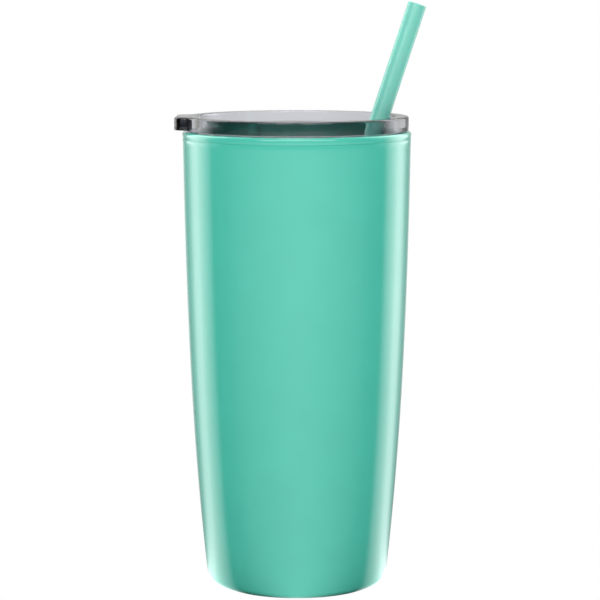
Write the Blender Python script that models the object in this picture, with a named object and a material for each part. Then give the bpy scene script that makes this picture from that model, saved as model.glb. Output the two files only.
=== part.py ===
"""Insulated tumbler with a smoke-clear push-in lid and a drinking straw, as separate pieces.

Metres, +Z up. The origin is the centre of the base pad's underside, where the tumbler stands.
The lid's thumb tab points to -X and the straw leans to +X.
"""

import math

import bmesh
import bpy
from mathutils import Matrix, Vector

# Driving dimensions
SEAM_HEIGHT = 0.1775  # joint line between the outer shell and the rim band
LID_TOP = 0.1862
RIM_RADIUS = 0.0450  # outside of the cup at the seam
BASE_RADIUS = 0.0357  # outside of the cup, run down to the table
DROP_SHARES = (0.276, 0.291, 0.433)  # of the taper: straight, squared and cubed with depth
BASE_LIFT = 0.0005  # the shell's foot stays this far above the table
SHELL_WALL = 0.0020
GAP = 0.0003  # between pieces that touch
STRAW_RADIUS = 0.00367
STRAW_LENGTH = 0.2275

# Inner cup: the rim band above the seam, the spigot below it, and the inside surface
RIM_TOP = 0.1803
RIM_SHOULDER = 0.0012
SPIGOT_BOTTOM = 0.1712
NECK_WALL = 0.0012  # below the spigot, where the double wall is narrowest
INNER_WALL = 0.0014
MOUTH_RADIUS = 0.0407
STEP_TOP = 0.1600
STEP_BOTTOM = 0.1540
STEP_RADIUS = 0.0390
INNER_FLOOR = 0.0090
FLOOR_RADIUS = 0.0314
FLOOR_CORNER = 0.0050

# Roundings and the ends of the evenly stepped walls
SIDE_LOW = 0.010  # outside of the shell
SIDE_HIGH = 0.170
BORE_LOW = 0.014  # inside of the shell
BORE_HIGH = 0.165
EDGE = 0.0004
SEAM_EDGE = 0.0003
MOUTH_EDGE = 0.0009
FOOT_FILLET = 0.0015
SEAT_FILLET = 0.0040  # where the lid's seat starts to narrow
STEP_FILLET = 0.0080

# Foam sleeve
FOAM_GAP = 0.00035
FOAM_LOW = 0.0150  # its outside follows the shell from here up
FOAM_TOP = 0.1480
FOAM_EDGE = 0.0012

# Rim seal, in a rebate round the top of the shell's bore
SEAL_REBATE = 0.0010
SEAL_DEPTH = 0.0013

# Base
SHELL_FLOOR = 0.0030  # top of the shell's inward foot
FOOT_BORE = 0.0296
FOOT_CORNER = 0.0028
CAP_TOP = 0.0053
CAP_SHOULDER_RADIUS = 0.0315
PAD_RADIUS = 0.0260
PAD_THICKNESS = 0.0018

# Lid
FLANGE_RADIUS = 0.0440
FLANGE_BOTTOM = 0.1806
FLANGE_EDGE = 0.0008  # rounding of the flange's top edge
WELL_MOUTH_RADIUS = 0.0389
WELL_FLOOR_RADIUS = 0.0385
WELL_FLOOR = 0.1745
WELL_FILLET = 0.0012
LID_WEB = 0.0026  # thickness of the well's floor
PLUG_RADIUS = 0.0403
PLUG_BORE = 0.0382
PLUG_BOTTOM = 0.1660
GROOVE_TOP = 0.1736
GROOVE_BOTTOM = 0.1694
GROOVE_RADIUS = 0.0393
GASKET_FIN_RADIUS = 0.0404
GASKET_BODY_RADIUS = 0.0399
FIN_HEIGHT = 0.0009
TAB_REACH = 0.0477  # from the cup's axis to the tab's end
TAB_ROOT = 0.0410
TAB_WIDTH = 0.0254
TAB_BOTTOM = 0.1811
TAB_CORNER = 0.0042
TAB_EDGE = 0.0007
HOLE_CUTTER_DEPTH = 0.0078  # more than the web, so that it passes right through

# Straw
HOLE_CENTRE = (0.02855, 0.0)  # of the lid's straw hole, in plan
HOLE_RADIUS = 0.0047
STRAW_LEAN = math.radians(18.4)  # from upright
STRAW_HEADING = math.radians(7.5)  # which way it leans, from +X towards +Y
STRAW_ABOVE_HOLE = 0.0596
STRAW_BORE = 0.0028
STRAW_LIP = 0.0004
STOP_DISTANCE = 0.1193  # from the straw hole down the straw to the stop ring's middle
STOP_HEIGHT = 0.0040
STOP_RADIUS = 0.0056
STOP_EDGE = 0.0008

# Resolution
TURN_STEPS = 60
SMALL_TURN_STEPS = 20
ARC_STEPS = 2
WALL_STEPS = 6  # up the outside of the shell
BORE_STEPS = 4  # up the surfaces inside it
TAB_CORNER_STEPS = 6
TAB_EDGE_STEPS = 2
AXIS_TOLERANCE = 1e-6
MERGE_DISTANCE = 1e-6
SHARP_ANGLE = math.radians(35)


def clear_scene():
    """Remove every object that the scene holds."""
    for thing in list(bpy.data.objects):
        bpy.data.objects.remove(thing, do_unlink=True)


def linear(channel):
    """Turn one sRGB channel, 0 to 1, into linear light."""
    if channel <= 0.04045:
        return channel / 12.92
    return ((channel + 0.055) / 1.055) ** 2.4


def finish(name, colour, roughness, metallic=0.0, alpha=1.0):
    """Make a Principled material from an sRGB colour written as six hex digits."""
    material = bpy.data.materials.new(name)
    material.use_nodes = True
    shader = material.node_tree.nodes["Principled BSDF"]
    channels = [linear(int(colour[i:i + 2], 16) / 255) for i in (0, 2, 4)]
    shader.inputs["Base Color"].default_value = (*channels, 1.0)
    shader.inputs["Roughness"].default_value = roughness
    shader.inputs["Metallic"].default_value = metallic
    shader.inputs["Alpha"].default_value = alpha
    material.diffuse_color = (*channels, alpha)
    return material


def cup_radius(height):
    """Outside radius of the cup: the taper steepens smoothly towards the base."""
    depth = (SEAM_HEIGHT - height) / SEAM_HEIGHT
    drop = sum(share * depth ** (power + 1) for power, share in enumerate(DROP_SHARES))
    return RIM_RADIUS - (RIM_RADIUS - BASE_RADIUS) * drop


def wall(low, high, inset, steps):
    """Corners up the cup's wall, set in from its outside; sharp, because the steps are small."""
    heights = [low + (high - low) * i / steps for i in range(steps + 1)]
    return [(cup_radius(height) - inset, height, 0.0) for height in heights]


def rounded(corners):
    """Turn corners (radius, height, fillet) into an outline with an arc for every fillet."""
    outline = []
    for i, (x, y, fillet) in enumerate(corners):
        corner = Vector((x, y))
        if fillet <= 0.0:
            outline.append(corner)
            continue
        before = (Vector(corners[i - 1][:2]) - corner).normalized()
        after = (Vector(corners[(i + 1) % len(corners)][:2]) - corner).normalized()
        half_angle = before.angle(after) / 2
        bisector = (before + after).normalized()
        centre = corner + bisector * (fillet / math.sin(half_angle))
        reach = fillet / math.tan(half_angle)
        start = corner + before * reach - centre
        turn = start.angle_signed(corner + after * reach - centre)
        for step in range(ARC_STEPS + 1):
            spoke = start.copy()
            spoke.rotate(Matrix.Rotation(-turn * step / ARC_STEPS, 2))
            outline.append(centre + spoke)
    return outline


def add_object(name, mesh, material):
    """Put a finished bmesh into the scene as a smooth-shaded object."""
    bmesh.ops.recalc_face_normals(mesh, faces=mesh.faces)
    data = bpy.data.meshes.new(name)
    mesh.to_mesh(data)
    mesh.free()
    data.shade_smooth()
    data.set_sharp_from_angle(angle=SHARP_ANGLE)
    data.materials.append(material)
    thing = bpy.data.objects.new(name, data)
    bpy.context.scene.collection.objects.link(thing)
    return thing


def turned(name, corners, material, steps=TURN_STEPS):
    """Turn a closed outline of (radius, height, fillet) corners round the Z axis."""
    mesh = bmesh.new()
    ring = [mesh.verts.new((point.x, 0.0, point.y)) for point in rounded(corners)]
    edges = []
    for i, start in enumerate(ring):
        end = ring[(i + 1) % len(ring)]
        if max(start.co.x, end.co.x) > AXIS_TOLERANCE:
            edges.append(mesh.edges.new((start, end)))
    bmesh.ops.spin(
        mesh,
        geom=ring + edges,
        cent=(0.0, 0.0, 0.0),
        axis=(0.0, 0.0, 1.0),
        angle=math.tau,
        steps=steps,
        use_merge=True,
    )
    bmesh.ops.remove_doubles(mesh, verts=mesh.verts, dist=MERGE_DISTANCE)
    return add_object(name, mesh, material)


def add_boolean(target, other, operation):
    """Cut or join another object with the target, and leave that object out of the model."""
    other.hide_render = True
    other.display_type = "WIRE"
    change = target.modifiers.new(f"{operation.lower()} {other.name}", "BOOLEAN")
    change.operation = operation
    change.solver = "EXACT"
    change.object = other


def build_outer_shell(material):
    """Tapered outer wall with an inward foot round the hole that the base cap fills."""
    top = SEAM_HEIGHT - GAP / 2
    bore = cup_radius(top) - SHELL_WALL
    outside = wall(SIDE_LOW, SIDE_HIGH, 0.0, WALL_STEPS)
    inside = wall(BORE_LOW, BORE_HIGH, SHELL_WALL, BORE_STEPS)
    corners = [
        (bore + SEAL_REBATE, top, 0.0),
        (bore + SEAL_REBATE, top - SEAL_DEPTH, 0.0),
        (bore, top - SEAL_DEPTH, 0.0),
        *reversed(inside),
        (cup_radius(SHELL_FLOOR) - SHELL_WALL, SHELL_FLOOR, FOOT_FILLET),
        (FOOT_BORE, SHELL_FLOOR, 0.0),
        (FOOT_BORE, BASE_LIFT, EDGE),
        (cup_radius(BASE_LIFT), BASE_LIFT, FOOT_CORNER),
        *outside,
        (cup_radius(top), top, SEAM_EDGE),
    ]
    return turned("outer_shell", corners, material)


def build_base_cap(material):
    """Disc that closes the shell from inside, with a recess below for the base pad."""
    bore = FOOT_BORE - GAP
    recess_radius = PAD_RADIUS + GAP
    recess_top = PAD_THICKNESS + GAP
    corners = [
        (0.0, CAP_TOP, 0.0),
        (0.0, recess_top, 0.0),
        (recess_radius, recess_top, 0.0),
        (recess_radius, BASE_LIFT, SEAM_EDGE),
        (bore, BASE_LIFT, EDGE),
        (bore, SHELL_FLOOR + GAP, 0.0),
        (CAP_SHOULDER_RADIUS, SHELL_FLOOR + GAP, 0.0),
        (CAP_SHOULDER_RADIUS, CAP_TOP, 0.0),
    ]
    return turned("base_cap", corners, material)


def build_base_pad(material):
    """Non-slip disc that the tumbler stands on."""
    corners = [
        (0.0, PAD_THICKNESS, 0.0),
        (0.0, 0.0, 0.0),
        (PAD_RADIUS, 0.0, EDGE),
        (PAD_RADIUS, PAD_THICKNESS, 0.0),
    ]
    return turned("base_pad", corners, material)


def build_inner_cup(material):
    """Inner wall in one piece with the rim: band, spigot into the shell, lid seat and body."""
    band_bottom = SEAM_HEIGHT + GAP / 2
    spigot = cup_radius(SEAM_HEIGHT) - SHELL_WALL - GAP
    neck = MOUTH_RADIUS + NECK_WALL
    under_floor = INNER_FLOOR - INNER_WALL
    corners = [
        (0.0, INNER_FLOOR, 0.0),
        (0.0, under_floor, 0.0),
        (FLOOR_RADIUS + INNER_WALL, under_floor, FLOOR_CORNER + INNER_WALL),
        (STEP_RADIUS + INNER_WALL, STEP_BOTTOM, STEP_FILLET),
        (neck, STEP_TOP, SEAT_FILLET),
        (neck, SPIGOT_BOTTOM, 0.0),
        (spigot, SPIGOT_BOTTOM, 0.0),
        (spigot, band_bottom, 0.0),
        (cup_radius(band_bottom), band_bottom, SEAM_EDGE),
        (cup_radius(RIM_TOP), RIM_TOP, RIM_SHOULDER),
        (MOUTH_RADIUS, RIM_TOP, MOUTH_EDGE),
        (MOUTH_RADIUS, STEP_TOP, SEAT_FILLET),
        (STEP_RADIUS, STEP_BOTTOM, STEP_FILLET),
        (FLOOR_RADIUS, INNER_FLOOR, FLOOR_CORNER),
    ]
    return turned("inner_cup", corners, material)


def build_rim_seal(material):
    """Silicone ring between the rim band and the shell, which keeps water out of the wall."""
    bore = cup_radius(SEAM_HEIGHT) - SHELL_WALL
    top = SEAM_HEIGHT - GAP / 2
    bottom = top - SEAL_DEPTH + GAP
    inner = bore + GAP / 2
    outer = bore + SEAL_REBATE - GAP
    corners = [(inner, top, 0.0), (inner, bottom, 0.0), (outer, bottom, 0.0), (outer, top, 0.0)]
    return turned("rim_seal", corners, material)


def build_insulation_sleeve(material):
    """Foam cup that fills the space between the inner cup and the outer shell."""
    bottom = CAP_TOP + GAP
    floor = INNER_FLOOR - INNER_WALL - GAP
    foot = FLOOR_RADIUS + INNER_WALL + FOAM_GAP
    slope = (STEP_RADIUS - FLOOR_RADIUS) / (STEP_BOTTOM - INNER_FLOOR)
    corners = [
        (0.0, floor, 0.0),
        (0.0, bottom, 0.0),
        (cup_radius(bottom) - SHELL_WALL - FOAM_GAP, bottom, FOAM_EDGE),
        *wall(FOAM_LOW, FOAM_TOP, SHELL_WALL + FOAM_GAP, BORE_STEPS),
        (foot + slope * (FOAM_TOP - INNER_FLOOR), FOAM_TOP, 0.0),
        (foot, floor, FLOOR_CORNER + INNER_WALL),
    ]
    return turned("insulation_sleeve", corners, material)


def build_thumb_tab(material):
    """Flat tongue with rounded corners that joins the lid's flange at -X."""
    mesh = bmesh.new()
    bmesh.ops.create_cube(mesh, size=1.0)
    size = Vector((TAB_REACH - TAB_ROOT, TAB_WIDTH, LID_TOP - TAB_BOTTOM))
    centre = Vector((-(TAB_REACH + TAB_ROOT) / 2, 0.0, (LID_TOP + TAB_BOTTOM) / 2))
    bmesh.ops.scale(mesh, vec=size, verts=mesh.verts)
    bmesh.ops.translate(mesh, vec=centre, verts=mesh.verts)
    end_x = -TAB_REACH + AXIS_TOLERANCE
    upright = [
        edge for edge in mesh.edges
        if all(vertex.co.x < end_x for vertex in edge.verts)
        and abs(edge.verts[0].co.z - edge.verts[1].co.z) > AXIS_TOLERANCE
    ]
    bmesh.ops.bevel(
        mesh,
        geom=upright,
        offset=TAB_CORNER,
        segments=TAB_CORNER_STEPS,
        profile=0.5,
        affect="EDGES",
    )
    root_x = -TAB_ROOT - AXIS_TOLERANCE
    rims = [
        edge for edge in mesh.edges
        if abs(edge.verts[0].co.z - edge.verts[1].co.z) < AXIS_TOLERANCE
        and any(vertex.co.x < root_x for vertex in edge.verts)
    ]
    bmesh.ops.bevel(
        mesh, geom=rims, offset=TAB_EDGE, segments=TAB_EDGE_STEPS, profile=0.5, affect="EDGES"
    )
    return add_object("thumb_tab_solid", mesh, material)


def build_straw_hole(material):
    """Cutter for the hole that the straw passes through."""
    mesh = bmesh.new()
    bmesh.ops.create_cone(
        mesh,
        cap_ends=True,
        segments=SMALL_TURN_STEPS,
        radius1=HOLE_RADIUS,
        radius2=HOLE_RADIUS,
        depth=HOLE_CUTTER_DEPTH,
    )
    middle = Vector((*HOLE_CENTRE, WELL_FLOOR - LID_WEB / 2))
    bmesh.ops.translate(mesh, vec=middle, verts=mesh.verts)
    return add_object("straw_hole_cutter", mesh, material)


def build_lid(material):
    """Smoke-clear lid: flange, recessed well, plug with a gasket groove, thumb tab and straw hole."""
    under_web = WELL_FLOOR - LID_WEB
    corners = [
        (0.0, WELL_FLOOR, 0.0),
        (0.0, under_web, 0.0),
        (PLUG_BORE, under_web, 0.0),
        (PLUG_BORE, PLUG_BOTTOM, 0.0),
        (PLUG_RADIUS, PLUG_BOTTOM, EDGE),
        (PLUG_RADIUS, GROOVE_BOTTOM, 0.0),
        (GROOVE_RADIUS, GROOVE_BOTTOM, 0.0),
        (GROOVE_RADIUS, GROOVE_TOP, 0.0),
        (PLUG_RADIUS, GROOVE_TOP, 0.0),
        (PLUG_RADIUS, FLANGE_BOTTOM, 0.0),
        (FLANGE_RADIUS, FLANGE_BOTTOM, EDGE),
        (FLANGE_RADIUS, LID_TOP, FLANGE_EDGE),
        (WELL_MOUTH_RADIUS, LID_TOP, EDGE),
        (WELL_FLOOR_RADIUS, WELL_FLOOR, WELL_FILLET),
    ]
    lid = turned("lid", corners, material)
    add_boolean(lid, build_thumb_tab(material), "UNION")
    add_boolean(lid, build_straw_hole(material), "DIFFERENCE")
    return lid


def build_lid_gasket(material):
    """Silicone ring in the plug's groove, with a fin at its top and bottom."""
    top = GROOVE_TOP - GAP
    bottom = GROOVE_BOTTOM + GAP
    inner = GROOVE_RADIUS + GAP
    corners = [
        (inner, top, 0.0),
        (inner, bottom, 0.0),
        (GASKET_FIN_RADIUS, bottom, 0.0),
        (GASKET_FIN_RADIUS, bottom + FIN_HEIGHT, 0.0),
        (GASKET_BODY_RADIUS, bottom + FIN_HEIGHT, 0.0),
        (GASKET_BODY_RADIUS, top - FIN_HEIGHT, 0.0),
        (GASKET_FIN_RADIUS, top - FIN_HEIGHT, 0.0),
        (GASKET_FIN_RADIUS, top, 0.0),
    ]
    return turned("lid_gasket", corners, material)


def place_on_straw(thing):
    """Stand a piece, built round Z with the straw hole at its origin, on the straw's axis."""
    thing.location = (*HOLE_CENTRE, WELL_FLOOR - LID_WEB / 2)
    thing.rotation_euler = (0.0, STRAW_LEAN, STRAW_HEADING)


def build_straw(material):
    """Plain tube; its origin is where its axis passes through the lid's hole."""
    top = STRAW_ABOVE_HOLE
    bottom = top - STRAW_LENGTH
    corners = [
        (STRAW_BORE, top, STRAW_LIP),
        (STRAW_BORE, bottom, STRAW_LIP),
        (STRAW_RADIUS, bottom, STRAW_LIP),
        (STRAW_RADIUS, top, STRAW_LIP),
    ]
    straw = turned("straw", corners, material, SMALL_TURN_STEPS)
    place_on_straw(straw)


def build_straw_stop(material):
    """Silicone ring on the straw, which meets the lid from below when the straw is pulled up."""
    bore = STRAW_RADIUS + GAP
    top = -STOP_DISTANCE + STOP_HEIGHT / 2
    bottom = -STOP_DISTANCE - STOP_HEIGHT / 2
    corners = [
        (bore, top, 0.0),
        (bore, bottom, 0.0),
        (STOP_RADIUS, bottom, STOP_EDGE),
        (STOP_RADIUS, top, STOP_EDGE),
    ]
    ring = turned("straw_stop_ring", corners, material, SMALL_TURN_STEPS)
    place_on_straw(ring)


def main():
    """Build the tumbler from the base up."""
    clear_scene()
    mint = finish("mint_gloss_plastic", "5FC2B1", 0.12)
    smoke = finish("smoke_clear_plastic", "8C9498", 0.05, alpha=0.45)
    silicone = finish("translucent_silicone", "D9DEDD", 0.5)
    pad_rubber = finish("pad_rubber", "4F9E92", 0.7)
    foam = finish("insulating_foam", "F0EDE4", 0.9)
    straw_plastic = finish("straw_plastic", "79CAB8", 0.25)

    build_base_pad(pad_rubber)
    build_base_cap(mint)
    build_outer_shell(mint)
    build_rim_seal(silicone)
    build_insulation_sleeve(foam)
    build_inner_cup(mint)
    build_lid(smoke)
    build_lid_gasket(silicone)
    build_straw(straw_plastic)
    build_straw_stop(silicone)


main()
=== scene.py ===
"""Insulated straw tumbler: mint double-walled cup, smoke-clear push-in lid and a leaning straw.

Every piece is a surface worked out with numpy in the row frame, in metres, with +Z up the cup's axis.
Each one stands for the CAD node of the same name and rides that node's body.
"""

import logging
import math
from dataclasses import dataclass
from enum import Enum
from typing import Any, Sequence

import bmesh
import bpy
import numpy as np
from mathutils import Matrix, Vector


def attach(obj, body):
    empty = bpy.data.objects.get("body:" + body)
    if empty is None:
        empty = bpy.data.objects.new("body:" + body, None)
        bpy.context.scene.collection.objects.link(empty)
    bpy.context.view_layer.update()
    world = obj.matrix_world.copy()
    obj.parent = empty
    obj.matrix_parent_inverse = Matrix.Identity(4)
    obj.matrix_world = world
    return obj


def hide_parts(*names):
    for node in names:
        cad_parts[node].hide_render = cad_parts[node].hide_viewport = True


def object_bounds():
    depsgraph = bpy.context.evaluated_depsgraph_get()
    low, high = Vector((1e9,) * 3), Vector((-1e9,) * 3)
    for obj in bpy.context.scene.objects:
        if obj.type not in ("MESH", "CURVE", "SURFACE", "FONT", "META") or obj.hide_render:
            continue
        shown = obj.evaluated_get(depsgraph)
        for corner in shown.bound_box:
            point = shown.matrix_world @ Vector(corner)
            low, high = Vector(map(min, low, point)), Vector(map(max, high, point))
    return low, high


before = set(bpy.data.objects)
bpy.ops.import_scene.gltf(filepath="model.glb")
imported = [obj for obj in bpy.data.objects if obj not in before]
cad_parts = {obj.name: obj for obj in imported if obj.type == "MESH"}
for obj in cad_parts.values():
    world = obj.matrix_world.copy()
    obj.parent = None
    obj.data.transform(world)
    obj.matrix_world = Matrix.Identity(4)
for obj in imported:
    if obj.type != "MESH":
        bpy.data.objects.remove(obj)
CAD_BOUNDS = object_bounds()

LOG = logging.getLogger("tumbler")
MILLIMETRE = 0.001
GAP = 0.0003  # between pieces that touch
CREASE = math.radians(32)  # a sharper bend than this keeps a hard edge
WELD = 1e-7  # points closer than this become one
NO_LENGTH = 1e-15  # guards a division by the length of a vector
NO_TURN = 1e-9  # below this angle an arc is a straight line
COAT_ROUGHNESS = 0.02  # of the clear, hard skin
NOISE_LOW, NOISE_HIGH = 0.3, 0.7  # nearly all of a noise pattern lies between these
GRAINS_PER_PATCH = 4.0  # a patch of even polish is this many grains wide
Bands = tuple[tuple[float, float], ...]


class Space(Enum):
    """The coordinates that a pattern is laid out in."""

    OBJECT = "Object"
    UV = "UV"


# --- Colour and shader nodes -------------------------------------------------------------------


def linear(colour: str, gain: float = 1.0) -> tuple[float, float, float, float]:
    """Turn an sRGB colour into the linear colour that shaders take, by the standard sRGB curve.

    Args:
        colour: six hex digits.
        gain: what each channel is multiplied by, kept at 1 or less.

    Returns:
        Red, green, blue and an alpha of 1.
    """
    coded = np.array([int(colour[i:i + 2], 16) / 255 for i in (0, 2, 4)])
    light = np.where(coded <= 0.04045, coded / 12.92, ((coded + 0.055) / 1.055) ** 2.4)
    red, green, blue = np.clip(light * gain, 0.0, 1.0)
    return float(red), float(green), float(blue), 1.0


def add_node(
    tree: bpy.types.NodeTree,
    kind: str,
    settings: dict[Any, Any] | None = None,
    links: dict[Any, bpy.types.NodeSocket] | None = None,
) -> bpy.types.Node:
    """Add a shader node with its settings and its incoming links.

    Args:
        tree: the node tree that it goes into.
        kind: the node's type.
        settings: values by the name or number of an input, or by the name of a property.
        links: output sockets by the name or number of the input that they feed.

    Returns:
        The new node.
    """
    node = tree.nodes.new(f"ShaderNode{kind}")
    for key, value in (settings or {}).items():
        if isinstance(key, int) or key in node.inputs:
            node.inputs[key].default_value = value
        else:
            setattr(node, key, value)
    for key, source in (links or {}).items():
        tree.links.new(source, node.inputs[key])
    return node


def pattern(
    tree: bpy.types.NodeTree,
    size_mm: float,
    space: Space = Space.OBJECT,
    stretch: tuple[float, float, float] = (1.0, 1.0, 1.0),
    detail: float = 3.0,
) -> bpy.types.NodeSocket:
    """Lay out a smooth random pattern, 0 to 1, at a real size.

    Args:
        tree: the material's node tree.
        size_mm: width of one blotch.
        space: coordinates that it follows; both are in metres.
        stretch: how much finer than size_mm it is along each axis.
        detail: number of finer layers in it.

    Returns:
        The pattern's value.
    """
    place = add_node(tree, "TexCoord").outputs[space.value]
    scaled = add_node(tree, "Mapping", {"Scale": stretch}, {"Vector": place}).outputs[0]
    scale = 1.0 / (size_mm * MILLIMETRE)
    return add_node(tree, "TexNoise", {"Scale": scale, "Detail": detail}, {"Vector": scaled}).outputs[0]


def spread(
    tree: bpy.types.NodeTree, value: bpy.types.NodeSocket, low: float, high: float
) -> bpy.types.NodeSocket:
    """Spread a noise pattern's middle range over low to high.

    Args:
        tree: the material's node tree.
        value: the pattern.
        low: result at that range's lower end.
        high: result at its upper end.

    Returns:
        The new value.
    """
    ends = {"From Min": NOISE_LOW, "From Max": NOISE_HIGH, "To Min": low, "To Max": high}
    return add_node(tree, "MapRange", ends, {"Value": value}).outputs[0]


def relief(
    tree: bpy.types.NodeTree,
    value: bpy.types.NodeSocket,
    depth_mm: float,
    under: bpy.types.NodeSocket | None = None,
) -> bpy.types.NodeSocket:
    """Raise a surface by a pattern, on top of any coarser relief.

    Args:
        tree: the material's node tree.
        value: the pattern.
        depth_mm: height from the pattern's 0 to its 1.
        under: normal that the relief starts from.

    Returns:
        The new normal.
    """
    links = {"Height": value} | ({"Normal": under} if under else {})
    return add_node(tree, "Bump", {"Distance": depth_mm * MILLIMETRE, "Strength": 1.0}, links).outputs[0]


# --- Finishes ----------------------------------------------------------------------------------


@dataclass(frozen=True)
class Finish:
    """A moulded plastic or rubber surface.

    Attributes:
        name: what the material is.
        slot: the record's material slot; not used.
        colour: sRGB, as six hex digits.
        roughness: mean roughness.
        unevenness: how far the roughness wanders either way.
        drift: share by which the colour lightens and darkens.
        drift_mm: width of those patches.
        grain_mm: width of the fine relief's bumps.
        grain_depth_mm: their height.
        sag_mm: width of the broad waves that moulding leaves.
        sag_depth_mm: their height.
        ior: index of refraction.
        coat: weight of a clear, hard skin.
        glow: share of light scattered below the surface.
        glow_mm: how far that light travels.
    """

    name: str
    slot: str
    colour: str
    roughness: float
    unevenness: float = 0.02
    drift: float = 0.03
    drift_mm: float = 14.0
    grain_mm: float = 0.8
    grain_depth_mm: float = 0.0006
    sag_mm: float = 22.0
    sag_depth_mm: float = 0.01
    ior: float = 1.5
    coat: float = 0.0
    glow: float = 0.0
    glow_mm: float = 1.0

    def build(self) -> bpy.types.Material:
        """Make the material.

        Returns:
            The material, with its shader and patterns.
        """
        material = bpy.data.materials.new(self.name)
        material.use_nodes = True
        material.diffuse_color = linear(self.colour)
        tree = material.node_tree
        shader = tree.nodes["Principled BSDF"]
        shader.inputs["IOR"].default_value = self.ior
        shader.inputs["Coat Weight"].default_value = self.coat
        shader.inputs["Coat Roughness"].default_value = COAT_ROUGHNESS
        shader.inputs["Subsurface Weight"].default_value = self.glow
        shader.inputs["Subsurface Scale"].default_value = self.glow_mm * MILLIMETRE
        self.dress(tree, shader)
        return material

    def dress(self, tree: bpy.types.NodeTree, shader: bpy.types.Node) -> None:
        """Link the colour, polish and relief.

        Args:
            tree: the material's node tree.
            shader: its Principled shader.
        """
        tree.links.new(self.shade(tree), shader.inputs["Base Color"])
        tree.links.new(self.polish(tree), shader.inputs["Roughness"])
        tree.links.new(self.surface(tree), shader.inputs["Normal"])

    def shade(self, tree: bpy.types.NodeTree) -> bpy.types.NodeSocket:
        """Let the colour wander between a slightly darker and a slightly lighter tone.

        Args:
            tree: the material's node tree.

        Returns:
            The colour.
        """
        tones = {
            "data_type": "RGBA",
            6: linear(self.colour, 1.0 - self.drift),
            7: linear(self.colour, 1.0 + self.drift),
        }
        share = spread(tree, pattern(tree, self.drift_mm), 0.0, 1.0)
        return add_node(tree, "Mix", tones, {0: share}).outputs[2]

    def polish(self, tree: bpy.types.NodeTree) -> bpy.types.NodeSocket:
        """Let the roughness wander in small patches.

        Args:
            tree: the material's node tree.

        Returns:
            The roughness.
        """
        patches = pattern(tree, self.grain_mm * GRAINS_PER_PATCH, detail=5.0)
        return spread(tree, patches, self.roughness - self.unevenness, self.roughness + self.unevenness)

    def surface(self, tree: bpy.types.NodeTree) -> bpy.types.NodeSocket:
        """Lay the fine grain over the broad waves.

        Args:
            tree: the material's node tree.

        Returns:
            The normal.
        """
        waves = relief(tree, pattern(tree, self.sag_mm, detail=0.0), self.sag_depth_mm)
        return relief(tree, pattern(tree, self.grain_mm, detail=2.0), self.grain_depth_mm, waves)


@dataclass(frozen=True)
class SmokePlastic(Finish):
    """Clear plastic that darkens with the thickness that light crosses.

    Attributes:
        tint: colour that the thickness takes on, as six hex digits.
        per_metre: how fast light is absorbed, for each metre of plastic.
    """

    tint: str = "808080"
    per_metre: float = 100.0

    def dress(self, tree: bpy.types.NodeTree, shader: bpy.types.Node) -> None:
        """Link the tone, polish and relief, let light through, and absorb it with depth.

        Args:
            tree: the material's node tree.
            shader: its Principled shader.
        """
        super().dress(tree, shader)
        shader.inputs["Transmission Weight"].default_value = 1.0
        smoke = {"Color": linear(self.tint), "Density": self.per_metre}
        volume = add_node(tree, "VolumeAbsorption", smoke).outputs[0]
        tree.links.new(volume, tree.nodes["Material Output"].inputs["Volume"])


@dataclass(frozen=True)
class ExtrudedPlastic(Finish):
    """Plastic tube with the faint lengthwise lines that a die leaves.

    Attributes:
        line_mm: spacing of the lines round the tube.
        line_depth_mm: their depth.
        line_stretch: how much finer than line_mm the lines are round the tube, along it and across it.
    """

    line_mm: float = 0.5
    line_depth_mm: float = 0.004
    line_stretch: tuple[float, float, float] = (1.0, 0.01, 1.0)

    def surface(self, tree: bpy.types.NodeTree) -> bpy.types.NodeSocket:
        """Lay the fine grain over the die lines.

        Args:
            tree: the material's node tree.

        Returns:
            The normal.
        """
        lines = pattern(tree, self.line_mm, Space.UV, self.line_stretch, 2.0)
        drawn = relief(tree, lines, self.line_depth_mm)
        return relief(tree, pattern(tree, self.grain_mm, detail=2.0), self.grain_depth_mm, drawn)


@dataclass(frozen=True)
class FoamFinish(Finish):
    """Cut foam with open cells.

    Attributes:
        cell_mm: width of one cell.
        cell_depth_mm: how deep the cells are.
    """

    cell_mm: float = 1.1
    cell_depth_mm: float = 0.3

    def surface(self, tree: bpy.types.NodeTree) -> bpy.types.NodeSocket:
        """Sink a pit in the middle of every cell.

        Args:
            tree: the material's node tree.

        Returns:
            The normal.
        """
        place = add_node(tree, "TexCoord").outputs["Object"]
        scale = {"Scale": 1.0 / (self.cell_mm * MILLIMETRE)}
        cells = add_node(tree, "TexVoronoi", scale, {"Vector": place}).outputs["Distance"]
        return relief(tree, cells, self.cell_depth_mm)


# The glossy body: mint all through, under a hard clear gloss that mirrors the softboxes.
MINT = Finish("mint gloss plastic", "mint_gloss_plastic", "4EC4AE", 0.16, drift=0.02, coat=0.6)
# The lid: water-clear on the surface, and inky grey-blue where the eye looks along its thickness.
SMOKE = SmokePlastic(
    "smoke-clear plastic", "smoke_clear_plastic", "FFFFFF", 0.03, unevenness=0.015, drift=0.005,
    sag_mm=9.0, tint="656C80", per_metre=165.0,
)
# The straw: satin mint, a little paler and milkier than the cup, with fine lengthwise lines.
STRAW = ExtrudedPlastic("straw plastic", "straw_plastic", "7CD2C1", 0.3, glow=0.2)
# Seals: milky and soft, so that they read as silicone next to the hard lid.
SILICONE = Finish(
    "translucent silicone", "translucent_silicone", "D9DEDD", 0.45, unevenness=0.06, ior=1.41, glow=0.5,
)
# The foot: matte and pebbled, which grips the table and takes no highlight.
PAD = Finish(
    "pad rubber", "pad_rubber", "4F9E92", 0.75, unevenness=0.08, grain_mm=0.5, grain_depth_mm=0.02,
)
# The filling: chalky cream foam with open cells, hidden between the two walls.
FOAM = FoamFinish("insulating foam", "insulating_foam", "F0EDE4", 0.95, drift=0.06)


# --- Surfaces ----------------------------------------------------------------------------------


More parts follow.
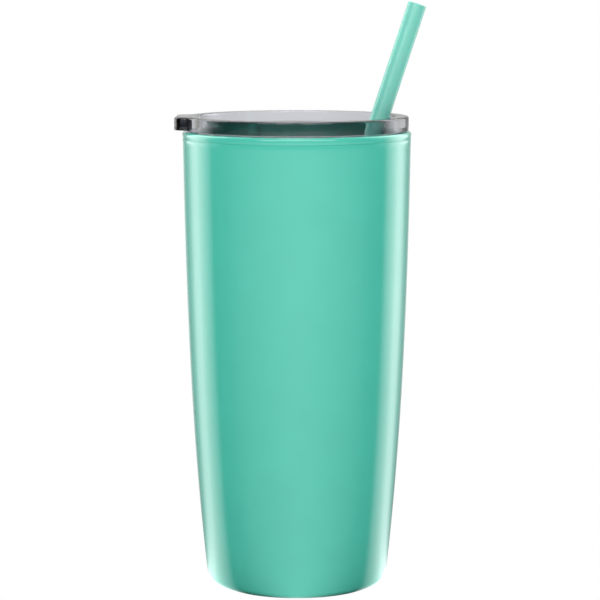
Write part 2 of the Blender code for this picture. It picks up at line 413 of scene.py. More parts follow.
def unit(vectors: np.ndarray) -> np.ndarray:
    """Scale each row to length 1; a row of zeros stays as it is."""
    length = np.linalg.norm(vectors, axis=-1, keepdims=True)
    return vectors / np.maximum(length, NO_LENGTH)


def rounded(corners: np.ndarray | Sequence[tuple[float, float, float]], steps: int = 8) -> np.ndarray:
    """Round the corners of a closed outline.

    Each corner with a fillet becomes an arc that touches both of its sides: the arc's centre lies on the
    corner's bisector, and its points turn evenly from one side's touching point to the other's.

    Args:
        corners: x, y and fillet radius of each corner.
        steps: parts that each arc is cut into.

    Returns:
        The outline's points, one per row.
    """
    table = np.array(corners, float)
    place, fillet = table[:, :2], table[:, 2:]
    before = unit(np.roll(place, 1, axis=0) - place)
    after = unit(np.roll(place, -1, axis=0) - place)
    cosine = np.clip((before * after).sum(axis=1, keepdims=True), -1.0, 1.0)
    half = np.arccos(cosine) / 2
    centre = place + unit(before + after) * fillet / np.sin(half)
    start = place + before * fillet / np.tan(half) - centre
    end = place + after * fillet / np.tan(half) - centre
    turn = (math.pi - 2 * half)[:, None]
    share = np.linspace(0.0, 1.0, steps + 1)[None, :, None]
    safe = np.where(turn > NO_TURN, np.sin(turn), 1.0)
    spokes = (np.sin((1 - share) * turn) * start[:, None] + np.sin(share * turn) * end[:, None]) / safe
    arcs = centre[:, None] + spokes
    arcs[fillet[:, 0] <= 0.0] = place[fillet[:, 0] <= 0.0][:, None]
    kept = np.ones(arcs.shape[:2], bool)
    kept[fillet[:, 0] <= 0.0, 1:] = False
    return arcs[kept]


def filled(points: np.ndarray, longest: float) -> np.ndarray:
    """Add points along an outline's long straight runs.

    Args:
        points: the closed outline.
        longest: no run between two points is longer than this.

    Returns:
        The outline with the added points.
    """
    ahead = np.roll(points, -1, axis=0) - points
    pieces = np.maximum(1, np.ceil(np.linalg.norm(ahead, axis=1) / longest)).astype(int)
    owner = np.repeat(np.arange(len(points)), pieces)
    first = np.repeat(np.cumsum(pieces) - pieces, pieces)
    share = (np.arange(len(owner)) - first) / pieces[owner]
    return points[owner] + ahead[owner] * share[:, None]


def along(points: np.ndarray) -> np.ndarray:
    """Measure the distance along a closed outline, ending with its whole length."""
    steps = np.linalg.norm(np.roll(points, -1, axis=0) - points, axis=1)
    return np.concatenate([[0.0], np.cumsum(steps)])


def tube_mesh(name: str, grid: np.ndarray, across: np.ndarray, round_: np.ndarray) -> bpy.types.Mesh:
    """Make a mesh from a grid of points that closes on itself both ways.

    Face (i, j) joins points (i, j), (i, j+1), (i+1, j+1) and (i+1, j), and the last row and column join the
    first. Rows that lie on the axis are welded to one point.

    Args:
        name: the mesh's name.
        grid: points, by row across the profile and by column round the axis.
        across: distance along the profile of each row, and its whole length, in metres.
        round_: distance round the axis of each column, and the whole way, in metres.

    Returns:
        The mesh, with its UV map in metres.
    """
    rows, columns = grid.shape[:2]
    i, j = (part.ravel() for part in np.meshgrid(np.arange(rows), np.arange(columns), indexing="ij"))
    down, right = np.stack([i, i, i + 1, i + 1], axis=1), np.stack([j, j + 1, j + 1, j], axis=1)
    faces = (down % rows) * columns + right % columns
    mesh = bpy.data.meshes.new(name)
    mesh.from_pydata(grid.reshape(-1, 3), [], faces)
    layer = mesh.uv_layers.new(name="metres")
    layer.uv.foreach_set("vector", np.stack([round_[right], across[down]], axis=-1).ravel())
    work = bmesh.new()
    work.from_mesh(mesh)
    bmesh.ops.remove_doubles(work, verts=work.verts, dist=WELD)
    bmesh.ops.recalc_face_normals(work, faces=work.faces)
    work.to_mesh(mesh)
    work.free()
    mesh.shade_smooth()
    mesh.set_sharp_from_angle(angle=CREASE)
    return mesh


def turned_mesh(
    name: str,
    corners: Sequence[tuple[float, float, float]],
    steps: int,
    longest: float = 0.004,
    place: Matrix | None = None,
) -> bpy.types.Mesh:
    """Turn a closed profile round the Z axis, and then put it in its place.

    The point at profile station s and angle a is (r(s) cos a, r(s) sin a, z(s)).

    Args:
        name: the mesh's name.
        corners: radius, height and fillet of each corner of the profile.
        steps: parts that the turn is cut into.
        longest: longest straight run of the profile that gets no added point.
        place: where the turned piece goes.

    Returns:
        The mesh.
    """
    profile = filled(rounded(corners), longest)
    angle = np.arange(steps) * math.tau / steps
    grid = np.empty((len(profile), steps, 3))
    grid[..., 0] = profile[:, :1] * np.cos(angle)
    grid[..., 1] = profile[:, :1] * np.sin(angle)
    grid[..., 2] = profile[:, 1:]
    if place is not None:
        matrix = np.array(place)
        grid = grid @ matrix[:3, :3].T + matrix[:3, 3]
    girth = math.tau * float(profile[:, 0].max())
    return tube_mesh(name, grid, along(profile), np.linspace(0.0, girth, steps + 1))


@dataclass(frozen=True)
class Body:
    """One body of the tumbler, whose pieces move together.

    Attributes:
        name: the CAD body.
    """

    name: str

    def fit(self, node: str, mesh: bpy.types.Mesh, finish: Finish) -> bpy.types.Object:
        """Put a finished piece in the scene in place of its CAD node.

        Args:
            node: the CAD node, whose name the piece's own name starts with.
            mesh: the piece's mesh, in the row frame.
            finish: how it looks.

        Returns:
            The piece.
        """
        material = bpy.data.materials.get(finish.name) or finish.build()
        mesh.materials.append(material)
        piece = bpy.data.objects.new(f"{node}_finished", mesh)
        bpy.context.scene.collection.objects.link(piece)
        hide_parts(node)
        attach(piece, self.name)
        LOG.info("%s: %d faces, rides %s", piece.name, len(mesh.polygons), self.name)
        return piece


# --- The cup -----------------------------------------------------------------------------------


@dataclass(frozen=True)
class Cup:
    """Double-walled cup with its foot.

    Attributes:
        seam: height of the joint line between the outer shell and the rim band.
        rim_radius: outside radius at the seam.
        base_radius: outside radius, run down to the table.
        shares: parts of the taper that are straight, squared and cubed with depth.
        lift: height of the foot above the table.
        wall: thickness of the outer shell.
        station: height between two corners up the side.
        side_ends: heights between which the outside follows the taper corner by corner.
        bore_ends: the same for the inside of the shell.
        foot_corner: rounding of the shell's outer edge at the foot.
        foot_fillet: rounding inside it.
        edge: rounding of the small edges of the foot.
        rim_top: top of the rim band.
        rim_shoulder: rounding of its outer edge.
        mouth_edge: rounding of its inner edge.
        mouth: radius of the mouth.
        neck_wall: thickness of the inner cup's neck.
        inner_wall: thickness of its body.
        spigot_bottom: lower edge of the part that stands in the shell.
        step_top: height at which the lid's seat starts to narrow.
        step_bottom: height at which it has narrowed.
        step_radius: radius there.
        seat_fillet: rounding where the seat starts to narrow.
        step_fillet: rounding where it has narrowed.
        floor: height of the inside floor.
        floor_radius: radius of the inside floor.
        floor_corner: rounding round it.
        foot_floor: top of the shell's inward foot.
        foot_bore: radius of the hole in that foot.
        cap_top: top of the base cap.
        cap_shoulder: radius of the base cap's shoulder.
        pad_radius: radius of the base pad.
        pad_thickness: its thickness.
        pad_edge: rounding of its lower edge.
        recess_edge: rounding of the edge round it.
        grooves: radii of the grooves in the pad's underside.
        groove_mouth: half a groove's width at the underside.
        groove_floor: half its width at its floor.
        groove_depth: its depth.
        seam_gap: opening of the joint line.
        seam_edge: rounding on both sides of it, and in the pad's grooves.
        seal_rebate: width of the rebate for the rim seal.
        seal_depth: its depth.
        foam_clear: space between the foam and the walls.
        foam_low: height from which the foam follows the shell.
        foam_short: how far below the seat the foam ends.
        foam_edge: rounding of its lower edge.
        steps: parts that a turn is cut into.
        foam_steps: the same for the foam, which nobody sees.
    """

    seam: float = 0.1775
    rim_radius: float = 0.0450
    base_radius: float = 0.0357
    shares: tuple[float, float, float] = (0.276, 0.291, 0.433)
    lift: float = 0.0005
    wall: float = 0.0020
    station: float = 0.0050
    side_ends: tuple[float, float] = (0.0060, 0.1750)
    bore_ends: tuple[float, float] = (0.0140, 0.1650)
    foot_corner: float = 0.0028
    foot_fillet: float = 0.0015
    edge: float = 0.0004
    rim_top: float = 0.1803
    rim_shoulder: float = 0.0012
    mouth_edge: float = 0.0009
    mouth: float = 0.0407
    neck_wall: float = 0.0012
    inner_wall: float = 0.0014
    spigot_bottom: float = 0.1712
    step_top: float = 0.1600
    step_bottom: float = 0.1540
    step_radius: float = 0.0390
    seat_fillet: float = 0.0040
    step_fillet: float = 0.0080
    floor: float = 0.0090
    floor_radius: float = 0.0314
    floor_corner: float = 0.0050
    foot_floor: float = 0.0030
    foot_bore: float = 0.0296
    cap_top: float = 0.0053
    cap_shoulder: float = 0.0315
    pad_radius: float = 0.0260
    pad_thickness: float = 0.0018
    pad_edge: float = 0.0005
    recess_edge: float = 0.0003
    grooves: tuple[float, float, float] = (0.0195, 0.0215, 0.0235)
    groove_mouth: float = 0.0004
    groove_floor: float = 0.0002
    groove_depth: float = 0.0003
    seam_gap: float = 0.00003
    seam_edge: float = 0.0001
    seal_rebate: float = 0.0010
    seal_depth: float = 0.0013
    foam_clear: float = 0.00035
    foam_low: float = 0.0150
    foam_short: float = 0.0060
    foam_edge: float = 0.0012
    steps: int = 192
    foam_steps: int = 96

    def radius(self, height: float) -> float:
        """Outside radius: the taper steepens smoothly towards the base."""
        depth = (self.seam - height) / self.seam
        drop = sum(share * depth ** (power + 1) for power, share in enumerate(self.shares))
        return self.rim_radius - (self.rim_radius - self.base_radius) * drop

    def side(self, low: float, high: float, inset: float = 0.0) -> list[tuple[float, float, float]]:
        """Corners up the cup's side, evenly spaced, set in from its outside."""
        heights = np.linspace(low, high, math.ceil((high - low) / self.station) + 1)
        return [(self.radius(z) - inset, z, 0.0) for z in heights.tolist()]

    def outer_shell(self) -> bpy.types.Mesh:
        """Tapered wall with a soft edge at the seam and an inward foot."""
        top = self.seam - self.seam_gap / 2
        bore = self.radius(top) - self.wall
        corners = [
            (bore + self.seal_rebate, top, 0.0),
            (bore + self.seal_rebate, top - self.seal_depth, 0.0),
            (bore, top - self.seal_depth, 0.0),
            *self.side(*self.bore_ends, self.wall)[::-1],
            (self.radius(self.foot_floor) - self.wall, self.foot_floor, self.foot_fillet),
            (self.foot_bore, self.foot_floor, 0.0),
            (self.foot_bore, self.lift, self.edge),
            (self.radius(self.lift), self.lift, self.foot_corner),
            *self.side(*self.side_ends),
            (self.radius(top), top, self.seam_edge),
        ]
        return turned_mesh("outer shell", corners, self.steps)

    def inner_cup(self) -> bpy.types.Mesh:
        """Rim band, spigot, lid seat and inside wall in one piece."""
        bottom = self.seam + self.seam_gap / 2
        spigot = self.radius(self.seam) - self.wall - GAP
        neck = self.mouth + self.neck_wall
        under = self.floor - self.inner_wall
        corners = [
            (0.0, self.floor, 0.0),
            (0.0, under, 0.0),
            (self.floor_radius + self.inner_wall, under, self.floor_corner + self.inner_wall),
            (self.step_radius + self.inner_wall, self.step_bottom, self.step_fillet),
            (neck, self.step_top, self.seat_fillet),
            (neck, self.spigot_bottom, 0.0),
            (spigot, self.spigot_bottom, 0.0),
            (spigot, bottom, 0.0),
            (self.radius(bottom), bottom, self.seam_edge),
            (self.radius(self.rim_top), self.rim_top, self.rim_shoulder),
            (self.mouth, self.rim_top, self.mouth_edge),
            (self.mouth, self.step_top, self.seat_fillet),
            (self.step_radius, self.step_bottom, self.step_fillet),
            (self.floor_radius, self.floor, self.floor_corner),
        ]
        return turned_mesh("inner cup", corners, self.steps)

    def rim_seal(self) -> bpy.types.Mesh:
        """Ring between the rim band and the shell."""
        bore = self.radius(self.seam) - self.wall
        top = self.seam - GAP / 2
        bottom = top - self.seal_depth + GAP
        inner, outer = bore + GAP / 2, bore + self.seal_rebate - GAP
        corners = [(inner, top, 0.0), (inner, bottom, 0.0), (outer, bottom, 0.0), (outer, top, 0.0)]
        return turned_mesh("rim seal", corners, self.steps)

    def insulation_sleeve(self) -> bpy.types.Mesh:
        """Foam cup between the two walls."""
        bottom, top = self.cap_top + GAP, self.step_bottom - self.foam_short
        floor = self.floor - self.inner_wall - GAP
        slope = (self.step_radius - self.floor_radius) / (self.step_bottom - self.floor)
        foot = self.floor_radius + self.inner_wall + self.foam_clear
        corners = [
            (0.0, floor, 0.0),
            (0.0, bottom, 0.0),
            (self.radius(bottom) - self.wall - self.foam_clear, bottom, self.foam_edge),
            *self.side(self.foam_low, top, self.wall + self.foam_clear),
            (foot + slope * (top - self.floor), top, 0.0),
            (foot, floor, self.floor_corner + self.inner_wall),
        ]
        return turned_mesh("insulation sleeve", corners, self.foam_steps)

    def base_cap(self) -> bpy.types.Mesh:
        """Disc that closes the foot, with a recess for the pad."""
        bore, recess = self.foot_bore - GAP, self.pad_radius + GAP
        corners = [
            (0.0, self.cap_top, 0.0),
            (0.0, self.pad_thickness + GAP, 0.0),
            (recess, self.pad_thickness + GAP, 0.0),
            (recess, self.lift, self.recess_edge),
            (bore, self.lift, self.edge),
            (bore, self.foot_floor + GAP, 0.0),
            (self.cap_shoulder, self.foot_floor + GAP, 0.0),
            (self.cap_shoulder, self.cap_top, 0.0),
        ]
        return turned_mesh("base cap", corners, self.steps)

    def base_pad(self) -> bpy.types.Mesh:
        """Disc that the cup stands on, with three shallow grooves turned into its underside."""
        grooves = [
            corner
            for radius in self.grooves
            for corner in (
                (radius - self.groove_mouth, 0.0, self.seam_edge),
                (radius - self.groove_floor, self.groove_depth, self.seam_edge),
                (radius + self.groove_floor, self.groove_depth, self.seam_edge),
                (radius + self.groove_mouth, 0.0, self.seam_edge),
            )
        ]
        corners = [
            (0.0, self.pad_thickness, 0.0),
            (0.0, 0.0, 0.0),
            *grooves,
            (self.pad_radius, 0.0, self.pad_edge),
            (self.pad_radius, self.pad_thickness, 0.0),
        ]
        return turned_mesh("base pad", corners, self.steps)

    def build(self) -> None:
        """Put every piece of the cup in the scene."""
        body = Body("cup")
        body.fit("outer_shell", self.outer_shell(), MINT)
        body.fit("inner_cup", self.inner_cup(), MINT)
        body.fit("rim_seal", self.rim_seal(), SILICONE)
        body.fit("insulation_sleeve", self.insulation_sleeve(), FOAM)
        body.fit("base_cap", self.base_cap(), MINT)
        body.fit("base_pad", self.base_pad(), PAD)


# --- The lid -----------------------------------------------------------------------------------


@dataclass(frozen=True)
class Lid:
    """Push-in lid and the gasket in its groove.

    Attributes:
        top: height of the lid's top.
        flange_radius: outside radius of the flange.
        flange_bottom: its underside.
        flange_edge: rounding of its top edge.
        under_edge: rounding of its lower edge, and of the corner under the well's floor.
        well_mouth: radius of the well at its top.
        well_radius: radius of the well at its floor.
        well_floor: height of that floor.
        well_edge: rounding round the well's top, and of the plug's lower edge.
        well_fillet: rounding round its floor.
        web: its thickness.
        plug_radius: outside radius of the plug.
        plug_bore: inside radius of the plug.
        plug_bottom: its lower edge.
        groove_top: top of the gasket's groove.
        groove_bottom: bottom of the groove.
        groove_radius: radius of the groove's floor.
        fin_radius: outside radius of the gasket's fins.
        gasket_radius: outside radius of the gasket between them.
        fin_height: height of a fin.
        fin_edge: rounding of its edges.
        tab_reach: distance of the thumb tab's end from the axis.
        tab_width: its width.
        tab_bottom: its underside.
        tab_corner: rounding of its two corners, in plan.
        tab_root: rounding where it leaves the flange, in plan.
        tab_clear: angle between the tab's root and the nearest point of the flange's round, in radians.
        tab_margin: a point of the plan this far outside the flange's radius belongs to the tab.
        hole_x: distance of the straw's hole from the axis.
        hole_radius: its radius.
        hole_edge: rounding of its edges, and of the plug's inner edge.
        ring_radius: radius inside which the floor's rings start to move towards the hole.
        blend_start: how far outside the plug the section starts to follow the plan.
        low_margin: a point of the section less than this above the flange's underside belongs to it.
        steps: parts that the round of the flange is cut into.
        plan_run: longest straight run of the plan that gets no added point.
        section_run: the same for the section.
        gasket_steps: parts that the gasket's turn is cut into.
    """

    top: float = 0.1862
    flange_radius: float = 0.0440
    flange_bottom: float = 0.1806
    flange_edge: float = 0.0008
    under_edge: float = 0.0004
    well_mouth: float = 0.0389
    well_radius: float = 0.0385
    well_floor: float = 0.1745
    well_edge: float = 0.0005
    well_fillet: float = 0.0012
    web: float = 0.0026
    plug_radius: float = 0.0403
    plug_bore: float = 0.0382
    plug_bottom: float = 0.1660
    groove_top: float = 0.1736
    groove_bottom: float = 0.1694
    groove_radius: float = 0.0393
    fin_radius: float = 0.0404
    gasket_radius: float = 0.0399
    fin_height: float = 0.0009
    fin_edge: float = 0.00015
    tab_reach: float = 0.0477
    tab_width: float = 0.0254
    tab_bottom: float = 0.1811
    tab_corner: float = 0.0042
    tab_root: float = 0.0009
    tab_clear: float = 0.06
    tab_margin: float = 0.0004
    hole_x: float = 0.02855
    hole_radius: float = 0.0047
    hole_edge: float = 0.0003
    ring_radius: float = 0.0360
    blend_start: float = 0.0002
    low_margin: float = 0.0006
    steps: int = 180
    plan_run: float = 0.0015
    section_run: float = 0.0020
    gasket_steps: int = 192

    def outline(self) -> np.ndarray:
        """Plan of the flange: a circle that the thumb tab leaves at -X, with rounded corners."""
        half = self.tab_width / 2
        root = math.asin(half / self.flange_radius)
        angle = np.linspace(root - math.pi + self.tab_clear, math.pi - root - self.tab_clear, self.steps)
        circle = np.stack([np.cos(angle), np.sin(angle), np.zeros(self.steps)], axis=1) * self.flange_radius
        root_x = -self.flange_radius * math.cos(root)
        tab = [
            (root_x, half, self.tab_root),
            (-self.tab_reach, half, self.tab_corner),
            (-self.tab_reach, -half, self.tab_corner),
            (root_x, -half, self.tab_root),
        ]
        return filled(rounded(np.concatenate([circle, tab])), self.plan_run)

    def section(self) -> np.ndarray:
        """Profile from the straw hole's edge over the well, flange, plug and back under the floor."""
        under = self.well_floor - self.web
        corners = [
            (self.hole_radius, self.well_floor, self.hole_edge),
            (self.well_radius, self.well_floor, self.well_fillet),
            (self.well_mouth, self.top, self.well_edge),
            (self.flange_radius, self.top, self.flange_edge),
            (self.flange_radius, self.flange_bottom, self.under_edge),
            (self.plug_radius, self.flange_bottom, 0.0),
            (self.plug_radius, self.groove_top, 0.0),
            (self.groove_radius, self.groove_top, 0.0),
            (self.groove_radius, self.groove_bottom, 0.0),
            (self.plug_radius, self.groove_bottom, 0.0),
            (self.plug_radius, self.plug_bottom, self.well_edge),
            (self.plug_bore, self.plug_bottom, self.hole_edge),
            (self.plug_bore, under, self.under_edge),
            (self.hole_radius, under, self.hole_edge),
        ]
        return filled(rounded(corners), self.section_run)

    def lid(self) -> bpy.types.Mesh:
        """Carry the section round the axis.

        A point of the section at radius r and height z goes to one of three places for the column at angle
        a. Inside the ring radius its circle shrinks evenly to the straw's hole: centre c t, radius r, where t
        runs from 0 at the ring radius to 1 at the hole. Further out it lies on a plain circle. Towards the
        flange's edge it blends into the outline, moved inwards along its normal by what r is short of the
        flange's radius. Under the tab, z is raised to the tab's underside.
        """
        plan, section = self.outline(), self.section()
        forward = unit(np.roll(plan, -1, axis=0) - np.roll(plan, 1, axis=0))
        outward = np.stack([forward[:, 1], -forward[:, 0]], axis=1)
        heading = unit(plan)
        radius, height = section[:, :1, None], section[:, 1:, None]
        shift = np.clip((self.ring_radius - radius) / (self.ring_radius - self.hole_radius), 0.0, 1.0)
        centre = np.array([self.hole_x, 0.0]) * shift
        circle = centre + radius * heading[None]
        edge = plan[None] - (self.flange_radius - radius) * outward[None]
        start = self.plug_radius + self.blend_start
        blend = np.clip((radius - start) / (self.flange_radius - self.flange_edge - start), 0.0, 1.0)
        grid = np.empty((len(section), len(plan), 3))
        grid[..., :2] = circle * (1.0 - blend) + edge * blend
        on_tab = np.linalg.norm(plan, axis=1)[None] > self.flange_radius + self.tab_margin
        low = (height[..., 0] < self.flange_bottom + self.low_margin) & (blend[..., 0] > 0.0)
        lift = (self.tab_bottom - self.flange_bottom) * blend[..., 0]
        grid[..., 2] = height[..., 0] + np.where(low & on_tab, lift, 0.0)
        return tube_mesh("lid", grid, along(section), along(plan))

    def gasket(self) -> bpy.types.Mesh:
        """Ring with a fin at its top and bottom."""
        top, bottom, inner = self.groove_top - GAP, self.groove_bottom + GAP, self.groove_radius + GAP
        corners = [
            (inner, top, 0.0),
            (inner, bottom, 0.0),
            (self.fin_radius, bottom, self.fin_edge),
            (self.fin_radius, bottom + self.fin_height, self.fin_edge),
            (self.gasket_radius, bottom + self.fin_height, self.fin_edge),
            (self.gasket_radius, top - self.fin_height, self.fin_edge),
            (self.fin_radius, top - self.fin_height, self.fin_edge),
            (self.fin_radius, top, self.fin_edge),
        ]
        return turned_mesh("lid gasket", corners, self.gasket_steps)

    def build(self) -> None:
        """Put the lid and its gasket in the scene."""
        Body("lid").fit("lid", self.lid(), SMOKE)
        Body("gasket").fit("lid_gasket", self.gasket(), SILICONE)


# --- The straw ---------------------------------------------------------------------------------


@dataclass(frozen=True)
class Straw:
    """Leaning straw with its stop ring.

    Attributes:
        hole: where the straw's axis passes through the lid.
        lean: its angle from upright, in degrees.
        heading: which way it leans, from +X towards +Y, in degrees.
        radius: outside radius.
        bore: inside radius.
        above: length above the lid's hole.
        length: whole length.
        lip: rounding of its ends.
        stop_distance: from the hole down to the stop ring's middle.
        stop_height: height of the ring.
        stop_radius: outside radius of the ring.
        stop_edge: rounding of its outer edges.
        steps: parts that a turn is cut into.
    """

    hole: tuple[float, float, float] = (0.02855, 0.0, 0.1732)
    lean: float = 18.4
    heading: float = 7.5
    radius: float = 0.00367
    bore: float = 0.0028
    above: float = 0.0596
    length: float = 0.2275
    lip: float = 0.0004
    stop_distance: float = 0.1193
    stop_height: float = 0.0040
    stop_radius: float = 0.0056
    stop_edge: float = 0.0008
    steps: int = 64

    def place(self) -> Matrix:
        """Where the straw's own axis and origin lie in the row frame."""
        turn = Matrix.Rotation(math.radians(self.heading), 4, "Z")
        tip = Matrix.Rotation(math.radians(self.lean), 4, "Y")
        return Matrix.Translation(self.hole) @ turn @ tip

    def tube(self) -> bpy.types.Mesh:
        """Tube with rolled ends."""
        bottom = self.above - self.length
        corners = [
            (self.bore, self.above, self.lip),
            (self.bore, bottom, self.lip),
            (self.radius, bottom, self.lip),
            (self.radius, self.above, self.lip),
        ]
        return turned_mesh("straw", corners, self.steps, place=self.place())

    def ring(self) -> bpy.types.Mesh:
        """Soft ring that meets the lid from below."""
        inner = self.radius + GAP
        top, bottom = self.stop_height / 2 - self.stop_distance, -self.stop_height / 2 - self.stop_distance
        corners = [
            (inner, top, 0.0),
            (inner, bottom, 0.0),
            (self.stop_radius, bottom, self.stop_edge),
            (self.stop_radius, top, self.stop_edge),
        ]
        return turned_mesh("straw stop ring", corners, self.steps, place=self.place())

    def build(self) -> None:
        """Put the straw and its stop ring in the scene."""
        Body("straw").fit("straw", self.tube(), STRAW)
        Body("straw_stop").fit("straw_stop_ring", self.ring(), SILICONE)


# --- The studio --------------------------------------------------------------------------------


@dataclass(frozen=True)
class Panel:
    """One soft light: an upright rectangle that faces the tumbler and isn't seen itself.

    Attributes:
        name: what the light is.
        bearing: angle of its middle from the camera's side, clockwise from above, in degrees.
        distance: from the cup's axis to its middle.
        height: height of its middle.
        width: its width.
        tall: its height.
        radiance: how bright its face is, where the backdrop is 1.
    """

    name: str
    bearing: float
    distance: float
    height: float
    width: float
    tall: float
    radiance: float

    def build(self, target: Vector) -> bpy.types.Object:
        """Put the light in the scene.

        Args:
            target: point that it faces.

        Returns:
            The light.
        """
        light = bpy.data.lights.new(self.name, "AREA")
        light.shape = "RECTANGLE"
        light.size, light.size_y = self.width, self.tall
        light.energy = self.radiance * math.pi * self.width * self.tall
        thing = bpy.data.objects.new(self.name, light)
        bearing = math.radians(self.bearing)
        away = Vector((-math.sin(bearing), -math.cos(bearing), 0.0)) * self.distance
        thing.location = away + Vector((0.0, 0.0, self.height))
        thing.rotation_euler = (target - thing.location).to_track_quat("-Z", "Y").to_euler()
        thing.visible_camera = False
        bpy.context.scene.collection.objects.link(thing)
        return thing


@dataclass(frozen=True)
class Studio:
    """Floor that glows with painted light and looks white, backdrop, soft lights and the camera.

    Attributes:
        floor_radius: radius of the floor.
        floor_sides: number of sides of its edge.
        eye: where the camera stands.
        pitch: how far it looks down, in degrees.
        lens: focal length in millimetres.
        sensor: width of the picture in the camera, in millimetres.
        shaded: distances from the axis between which the floor comes out of the shade painted round the
            tumbler's foot.
        shade: share of its glow that the floor keeps in that painted shade.
        turned: how far the set is turned to the right of the camera's side, in degrees.
        origin_y: where bearings on the floor are taken from; the side that the camera sees reflects them.
        front_floor: brightness of the floor at bearings from the camera's side, in degrees, on both sides.
        front_wall: brightness above the floor, in the same way.
        side_floor: the softboxes' light, painted into the floor's glow.
        side_wall: the softboxes above it.
        back_floor: the floor behind the tumbler.
        back_wall: the backdrop above it.
        gain: the brightest that any of them gets.
        panels: the soft lights.
        bounces: most times that light may bounce in all, pass through clear plastic, and pass a cut-out.
    """

    floor_radius: float = 3.0
    floor_sides: int = 128
    shaded: tuple[float, float] = (0.05, 0.70)
    shade: float = 0.82
    turned: float = 2.0
    origin_y: float = -0.03
    eye: tuple[float, float, float] = (0.00128, -0.8467, 0.2321)
    pitch: float = 8.0
    lens: float = 129.0
    sensor: float = 36.0
    front_floor: Bands = ((0.0, 1.14), (17.0, 1.05), (37.0, 0.84), (60.0, 0.58), (78.0, 0.18))
    front_wall: Bands = ((0.0, 0.08), (30.0, 0.08), (60.0, 0.05), (78.0, 0.03))
    side_floor: Bands = (
        (96.0, 0.03), (103.0, 1.3), (112.0, 2.1), (122.0, 2.8), (131.0, 2.0), (140.0, 0.7), (150.0, 0.3),
    )
    side_wall: Bands = ((86.0, 0.3), (98.0, 0.8), (110.0, 2.9), (132.0, 3.0), (142.0, 2.2), (150.0, 0.5))
    back_floor: Bands = ((162.0, 0.6), (171.0, 1.3), (180.0, 1.35))
    back_wall: Bands = ((162.0, 0.5), (180.0, 0.62))
    gain: float = 3.0
    panels: tuple[Panel, ...] = (
        Panel("front light", 0.0, 1.10, 0.66, 1.80, 0.60, 4.0),
        Panel("overhead softbox", 0.0, 0.02, 1.30, 0.45, 0.90, 3.2),
    )
    bounces: tuple[int, int, int] = (24, 20, 16)

    def surroundings(
        self, tree: bpy.types.NodeTree, direction: bpy.types.NodeSocket, bands: Bands
    ) -> bpy.types.NodeSocket:
        """Brightness of the surroundings in a direction.

        The direction's part away from the camera's side is minus the cosine of its bearing, and a ramp turns
        that into the brightness, so the bands at both sides stand as two tall softboxes would.

        Args:
            tree: node tree.
            direction: unit direction.
            bands: bearings and their brightness.

        Returns:
            The brightness.
        """
        turned = math.radians(self.turned)
        away = {"operation": "DOT_PRODUCT", 1: (-math.sin(turned), math.cos(turned), 0.0)}
        part = add_node(tree, "VectorMath", away, {0: direction}).outputs["Value"]
        share = add_node(tree, "MapRange", {"From Min": -1.0, "From Max": 1.0}, {"Value": part}).outputs[0]
        ramp = add_node(tree, "ValToRGB", links={0: share})
        stops = ramp.color_ramp.elements
        places = [(1.0 - math.cos(math.radians(bearing))) / 2 for bearing, _ in bands]
        for place in places[1:-1]:
            stops.new(place)
        for stop, place, (_, brightness) in zip(stops, places, bands):
            stop.position = place
            stop.color = (*[brightness / self.gain] * 3, 1.0)
        brighten = {"operation": "MULTIPLY", 1: self.gain}
        return add_node(tree, "Math", brighten, {0: ramp.outputs[0]}).outputs[0]

    def seen_white(self, tree: bpy.types.NodeTree, light: bpy.types.NodeSocket) -> bpy.types.NodeSocket:
        """White where the camera looks straight at it, and the given brightness for everything else."""
        ray = add_node(tree, "LightPath").outputs["Is Camera Ray"]
        return add_node(tree, "Mix", {"data_type": "FLOAT", 3: 1.0}, {0: ray, 2: light}).outputs[0]

    def build_world(self) -> None:
        """Light the surroundings, and show them as white."""
        world = bpy.data.worlds.new("white studio")
        bpy.context.scene.world = world
        world.use_nodes = True
        tree = world.node_tree
        direction = add_node(tree, "TexCoord").outputs["Generated"]
        bands = self.front_wall + self.side_wall + self.back_wall
        light = self.seen_white(tree, self.surroundings(tree, direction, bands))
        tree.links.new(light, tree.nodes["Background"].inputs["Strength"])
        tree.nodes["Background"].inputs["Color"].default_value = (1.0, 1.0, 1.0, 1.0)

    def build_floor(self) -> None:
        """Floor that glows white to the camera and runs into the backdrop; to everything else it gives off
        painted softbox light by bearing, dimmed by painted shade near the tumbler's foot.
        """
        bpy.ops.mesh.primitive_circle_add(
            vertices=self.floor_sides, radius=self.floor_radius, fill_type="NGON"
        )
        floor = bpy.context.object
        floor.name = "studio floor"
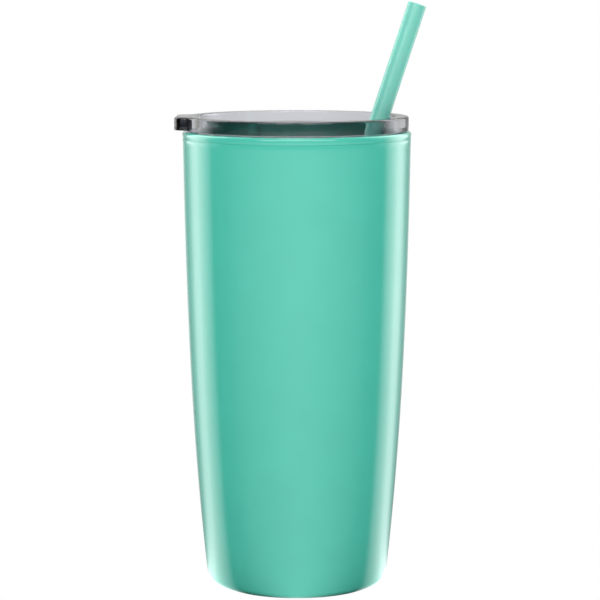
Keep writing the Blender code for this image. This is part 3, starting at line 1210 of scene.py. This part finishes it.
        # Glowing floor with painted light, not lit paper: white where the camera sees it straight on, so it
        # loses its edge against the backdrop; elsewhere it glows with painted softbox bands and painted shade
        # near the foot.
        material = bpy.data.materials.new("glowing floor with painted light")
        material.use_nodes = True
        tree = material.node_tree
        place = add_node(tree, "TexCoord").outputs["Object"]
        origin = {"operation": "SUBTRACT", 1: (0.0, self.origin_y, 0.0)}
        offset = add_node(tree, "VectorMath", origin, {0: place}).outputs[0]
        direction = add_node(tree, "VectorMath", {"operation": "NORMALIZE"}, {0: offset}).outputs[0]
        reach = add_node(tree, "VectorMath", {"operation": "LENGTH"}, {0: place}).outputs["Value"]
        # Painted shade: the floor's glow is dimmed near the tumbler's foot.
        ends = {"From Min": self.shaded[0], "From Max": self.shaded[1], "To Min": self.shade, "To Max": 1.0}
        painted_shade = add_node(tree, "MapRange", ends, {"Value": reach}).outputs[0]
        # Painted light: the softboxes' bands are painted into the floor's glow by bearing.
        light = self.surroundings(tree, direction, self.front_floor + self.side_floor + self.back_floor)
        light = add_node(tree, "Math", {"operation": "MULTIPLY"}, {0: light, 1: painted_shade}).outputs[0]
        glow = add_node(tree, "Emission", links={"Strength": self.seen_white(tree, light)}).outputs[0]
        tree.links.new(glow, tree.nodes["Material Output"].inputs["Surface"])
        floor.data.materials.append(material)

    def build_camera(self) -> None:
        """Stand the camera where the tumbler is seen from a little above its rim."""
        camera = bpy.data.objects.new("camera", bpy.data.cameras.new("camera"))
        camera.data.lens = self.lens
        camera.data.sensor_width = self.sensor
        camera.location = self.eye
        camera.rotation_euler = (math.radians(90.0 - self.pitch), 0.0, 0.0)
        bpy.context.scene.collection.objects.link(camera)
        bpy.context.scene.camera = camera

    def build(self) -> None:
        """Set the whole studio up."""
        low, high = CAD_BOUNDS
        middle = Vector((0.0, 0.0, (low.z + high.z) / 2))
        self.build_world()
        self.build_floor()
        [panel.build(middle) for panel in self.panels]
        self.build_camera()
        scene = bpy.context.scene
        scene.view_settings.view_transform = "Standard"
        in_all, through_plastic, through_cutouts = self.bounces
        scene.cycles.max_bounces = in_all
        scene.cycles.transmission_bounces = through_plastic
        scene.cycles.transparent_max_bounces = through_cutouts
        LOG.info("studio: %d soft lights", len(self.panels))


def main() -> None:
    """Build the tumbler from the cup up, and then the studio round it."""
    logging.basicConfig(level=logging.INFO, format="%(message)s")
    Cup().build()
    Lid().build()
    Straw().build()
    Studio().build()


if __name__ == "__main__":
    main()
